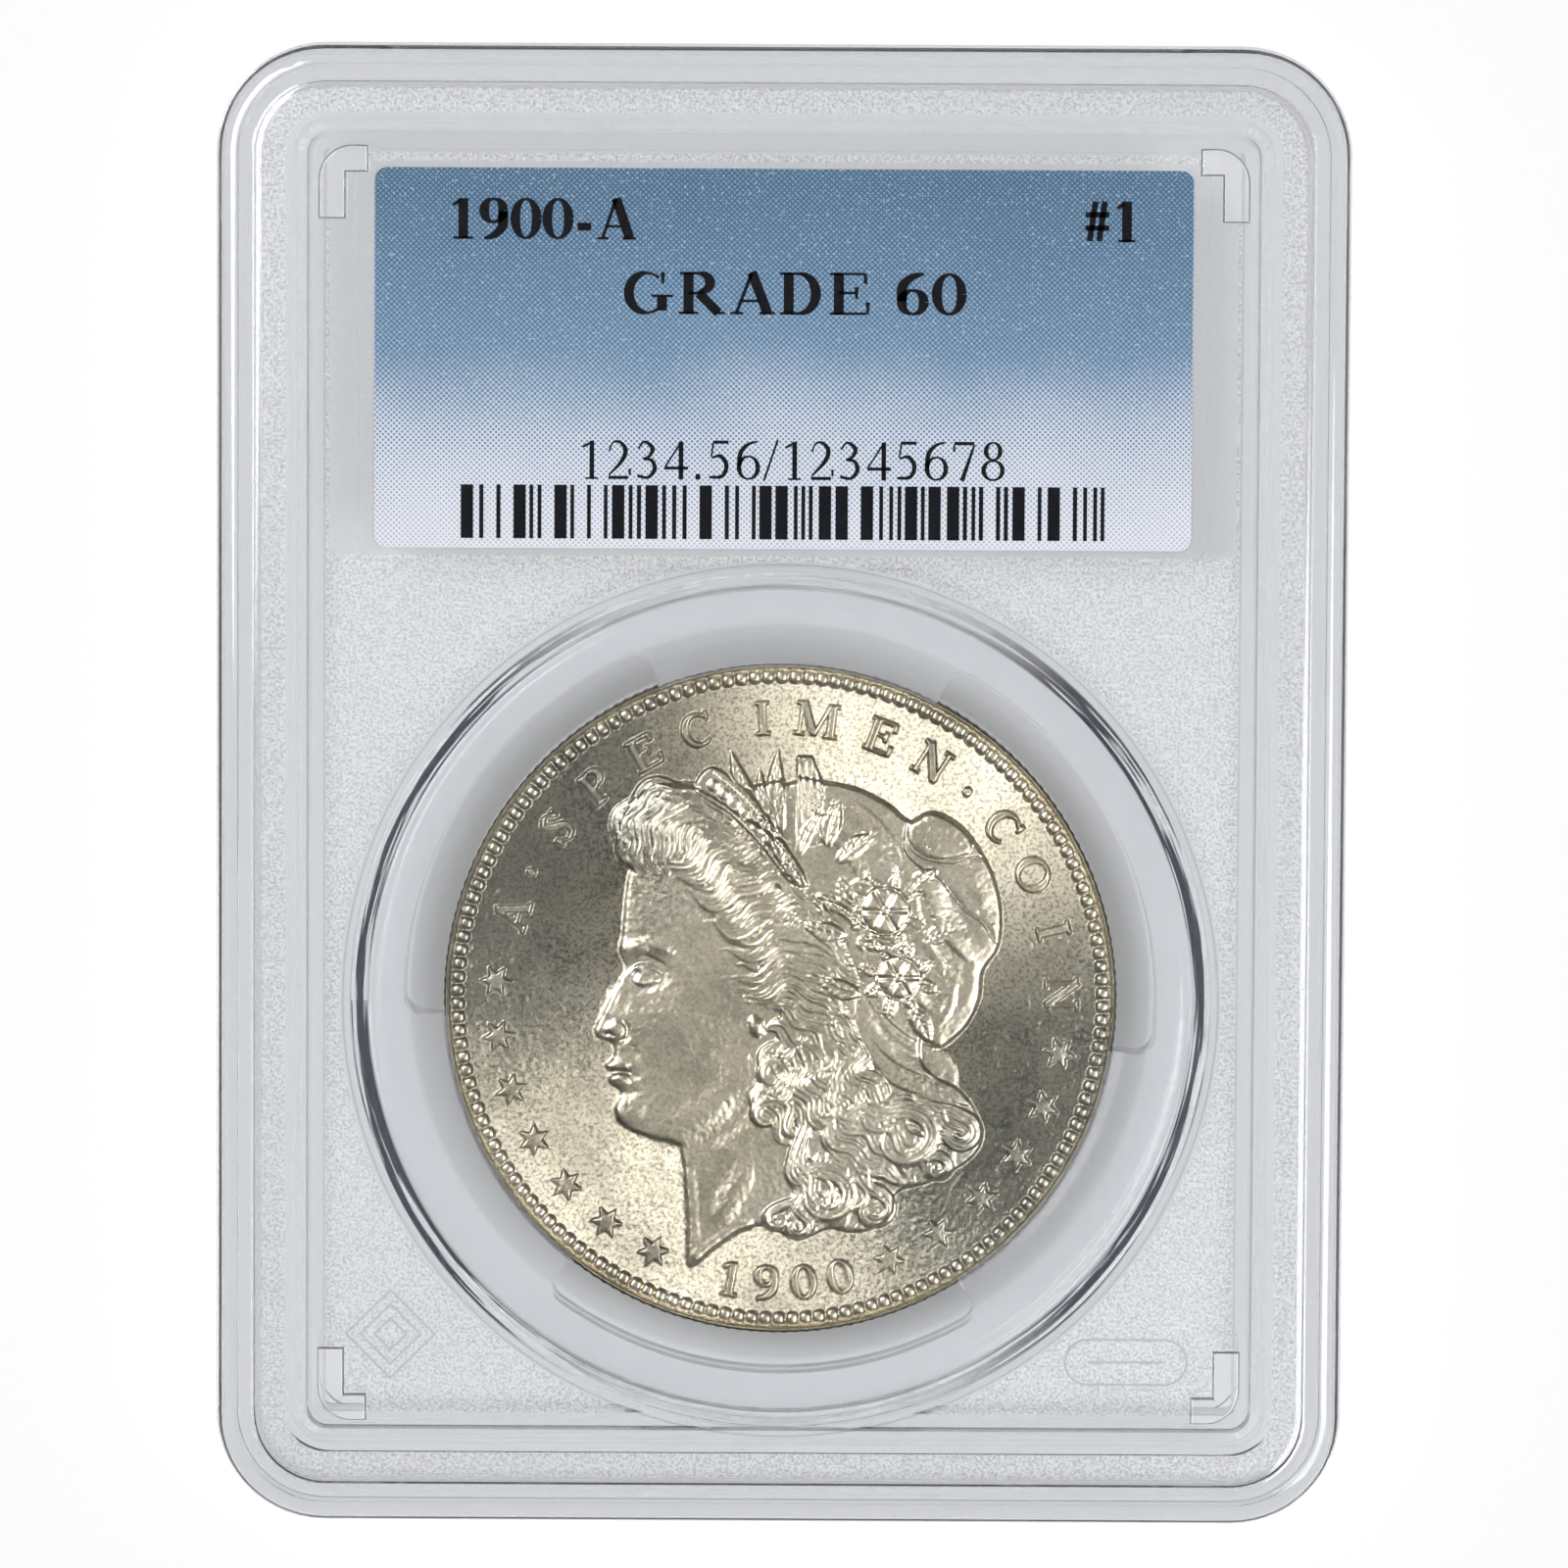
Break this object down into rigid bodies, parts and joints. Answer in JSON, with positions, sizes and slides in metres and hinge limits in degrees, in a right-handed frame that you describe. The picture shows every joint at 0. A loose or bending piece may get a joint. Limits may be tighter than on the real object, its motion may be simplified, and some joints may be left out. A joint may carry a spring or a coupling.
{
  "type": "graded coin slab",
  "caption": "Clear rigid two-part holder with a raised rim and stacking corners, a printed label above a round well, and a large silver coin held in a soft pronged ring.",
  "frame": {"origin": "centre of the back resting face, with the slab lying on its back", "axes": "+X to the right of the label, +Y from the coin up to the label, +Z out of the front window"},
  "size_m": [0.0636, 0.0832, 0.0086],
  "materials": {
    "clear_shell": "clear polystyrene, polished windows with frosted borders",
    "clear_ring": "soft clear ring, slightly milky",
    "coin_silver": "struck silver with champagne toning",
    "label_card": "printed card with a fading blue screen",
    "tag_film": "thin clear film",
    "tag_antenna": "etched foil",
    "tag_chip": "bare chip",
    "hologram_foil": "embossed foil"
  },
  "bodies": {
    "holder": {"front_shell": "clear_shell", "back_shell": "clear_shell", "perimeter_weld": "clear_shell", "well_weld": "clear_shell", "front_label": "label_card", "back_label": "label_card", "tag_film": "tag_film", "tag_antenna": "tag_antenna", "tag_chip": "tag_chip", "hologram_seal": "hologram_foil"},
    "ring": {"coin_ring": "clear_ring"},
    "coin": {"coin": "coin_silver"}
  },
  "joints": [
    {"name": "ring_turn", "type": "hinge", "parent": "holder", "child": "ring", "pos_m": [0, -0.0121, 0.00395], "axis": [0, 0, 1], "continuous": true},
    {"name": "coin_turn", "type": "hinge", "parent": "ring", "child": "coin", "pos_m": [0, -0.0121, 0.00395], "axis": [0, 0, 1], "continuous": true}
  ]
}
